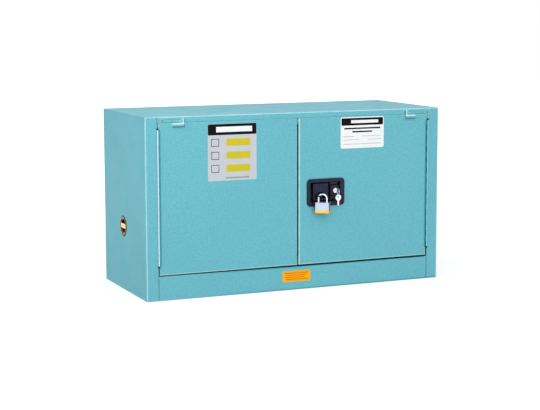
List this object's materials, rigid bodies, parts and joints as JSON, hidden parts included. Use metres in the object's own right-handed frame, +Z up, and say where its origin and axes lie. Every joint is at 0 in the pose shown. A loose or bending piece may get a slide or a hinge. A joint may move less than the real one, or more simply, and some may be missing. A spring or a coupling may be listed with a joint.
{
  "type": "acid storage cabinet",
  "caption": "low double-wall steel storage cabinet with hinged doors, closer arms, a recessed paddle latch and a padlock, over a leak-proof sump and a shelf",
  "frame": {"origin": "the middle of the cabinet's footprint, on the plane that it stands on", "axes": "X to the right seen from the front, Y towards the back, Z up"},
  "size_m": [1.0936, 0.5093, 0.61],
  "materials": {
    "paint": "satin blue-green powder coat",
    "hinge_paint": "satin blue-green powder coat over the hinges",
    "arm_paint": "satin blue-green powder coat",
    "liner": "satin blue-green powder coat inside the cabinet",
    "galvanised": "galvanised sheet with a faint spangle",
    "zinc": "bright zinc plate",
    "brass": "turned brass, lightly tarnished",
    "black_plastic": "matt black polyethylene",
    "latch_black": "fine textured black paint on a casting",
    "chrome": "bright nickel and chrome plate",
    "laminated_steel": "ground edges of stacked steel plates",
    "yellow_plastic": "smooth yellow vinyl",
    "black_oxide": "black oxide on steel",
    "black_rubber": "soft black rubber"
  },
  "bodies": {
    "cabinet": {"top_panel": "paint", "left_side_panel": "paint", "right_side_panel": "paint", "back_panel": "paint", "base_pan": "paint", "base_runners": "galvanised", "kick_panel": "paint", "sill_flange": "paint", "header_stop": "paint", "liner_left": "liner", "liner_right": "liner", "liner_back": "liner", "liner_top": "liner", "sump_tub": "liner", "shelf_standards": "galvanised", "shelf_clips": "galvanised", "shelf": "galvanised", "shelf_tray": "black_plastic", "vent_tubes": "brass", "flame_screens": "brass", "frame_hinge_leaves": "hinge_paint", "hinge_pins": "black_oxide", "rod_strikes": "zinc", "closer_pins": "zinc", "closer_springs": "zinc", "ground_screw": "brass"},
    "left_cap": {"left_vent_cap": "brass"},
    "right_cap": {"right_vent_cap": "brass"},
    "left_arm": {"left_closer_arm": "arm_paint"},
    "right_arm": {"right_closer_arm": "arm_paint"},
    "left_door": {"left_door_outer": "paint", "left_door_inner": "paint", "left_door_leaf": "hinge_paint", "left_door_stiffener": "galvanised", "bolt_strike": "zinc", "centre_seal": "black_rubber"},
    "right_door": {"right_door_outer": "paint", "right_door_inner": "paint", "right_door_leaf": "hinge_paint", "right_door_stiffener": "galvanised", "latch_tray": "latch_black", "tray_nuts": "zinc", "paddle_pin": "black_oxide", "paddle_spring": "zinc", "cam_stud": "zinc", "rod_guides": "galvanised", "lock_barrel": "chrome"},
    "paddle_body": {"paddle": "latch_black"},
    "cam": {"latch_cam": "zinc"},
    "rod_up": {"top_rod": "zinc"},
    "rod_down": {"bottom_rod": "zinc"},
    "bolt": {"centre_bolt": "zinc"},
    "lock": {"lock_plug": "chrome", "lock_tail": "zinc", "inserted_key": "chrome"},
    "key_bunch": {"key_ring": "chrome", "spare_key": "chrome"},
    "shackle": {"padlock_shackle": "chrome"},
    "padlock": {"padlock_case": "laminated_steel", "padlock_band": "yellow_plastic"}
  },
  "joints": [
    {"name": "left_door_swing", "type": "hinge", "parent": "cabinet", "child": "left_door", "pos_m": [-0.5032, -0.23, 0.327], "axis": [0, 0, 1], "range_deg": [-95, 0]},
    {"name": "right_door_swing", "type": "hinge", "parent": "cabinet", "child": "right_door", "pos_m": [0.5032, -0.23, 0.327], "axis": [0, 0, 1], "range_deg": [0, 95]},
    {"name": "left_closer_swing", "type": "hinge", "parent": "cabinet", "child": "left_arm", "pos_m": [-0.4972, -0.22, 0.596], "axis": [0, 0, 1], "range_deg": [-98, 0]},
    {"name": "right_closer_swing", "type": "hinge", "parent": "cabinet", "child": "right_arm", "pos_m": [0.4972, -0.22, 0.596], "axis": [0, 0, 1], "range_deg": [0, 98]},
    {"name": "paddle_pull", "type": "hinge", "parent": "right_door", "child": "paddle_body", "pos_m": [0.11, -0.219, 0.334], "axis": [0, 0, 1], "range_deg": [0, 40], "stiffness_Nm_per_rad": 0.3, "springref_deg": -20.05},
    {"name": "cam_turn", "type": "hinge", "parent": "right_door", "child": "cam", "pos_m": [0.104, -0.1995, 0.345], "axis": [0, 1, 0], "range_deg": [0, 25.2]},
    {"name": "top_rod_slide", "type": "slide", "parent": "right_door", "child": "rod_up", "axis": [0, 0, -1], "range_m": [0, 0.0086]},
    {"name": "bottom_rod_slide", "type": "slide", "parent": "right_door", "child": "rod_down", "axis": [0, 0, 1], "range_m": [0, 0.0086]},
    {"name": "centre_bolt_slide", "type": "slide", "parent": "right_door", "child": "bolt", "axis": [1, 0, 0], "range_m": [0, 0.0086]},
    {"name": "key_turn", "type": "hinge", "parent": "right_door", "child": "lock", "pos_m": [0.1415, -0.22, 0.3355], "axis": [0, -1, 0], "range_deg": [0, 90]},
    {"name": "spare_key_swing", "type": "hinge", "parent": "lock", "child": "key_bunch", "pos_m": [0.1415, -0.2515, 0.3355], "axis": [1, 0, 0], "range_deg": [-60, 8]},
    {"name": "padlock_swing", "type": "hinge", "parent": "paddle_body", "child": "shackle", "pos_m": [0.0805, -0.2565, 0.321], "axis": [0.788, -0.6157, 0], "range_deg": [-20, 0]},
    {"name": "padlock_release", "type": "slide", "parent": "shackle", "child": "padlock", "axis": [0, 0, -1], "range_m": [0, 0.009]},
    {"name": "left_cap_turn", "type": "hinge", "parent": "cabinet", "child": "left_cap", "pos_m": [-0.54, 0.019, 0.221], "axis": [1, 0, 0], "continuous": true},
    {"name": "right_cap_turn", "type": "hinge", "parent": "cabinet", "child": "right_cap", "pos_m": [0.54, 0.019, 0.46], "axis": [1, 0, 0], "continuous": true}
  ],
  "couplings": [
    {"joint": "left_closer_swing", "follows": "left_door_swing", "ratio": 1.03},
    {"joint": "right_closer_swing", "follows": "right_door_swing", "ratio": 1.03},
    {"joint": "cam_turn", "follows": "paddle_pull", "ratio": 0.625},
    {"joint": "top_rod_slide", "follows": "paddle_pull", "m_per_rad": 0.0122},
    {"joint": "bottom_rod_slide", "follows": "paddle_pull", "m_per_rad": 0.0122},
    {"joint": "centre_bolt_slide", "follows": "paddle_pull", "m_per_rad": 0.0122}
  ]
}
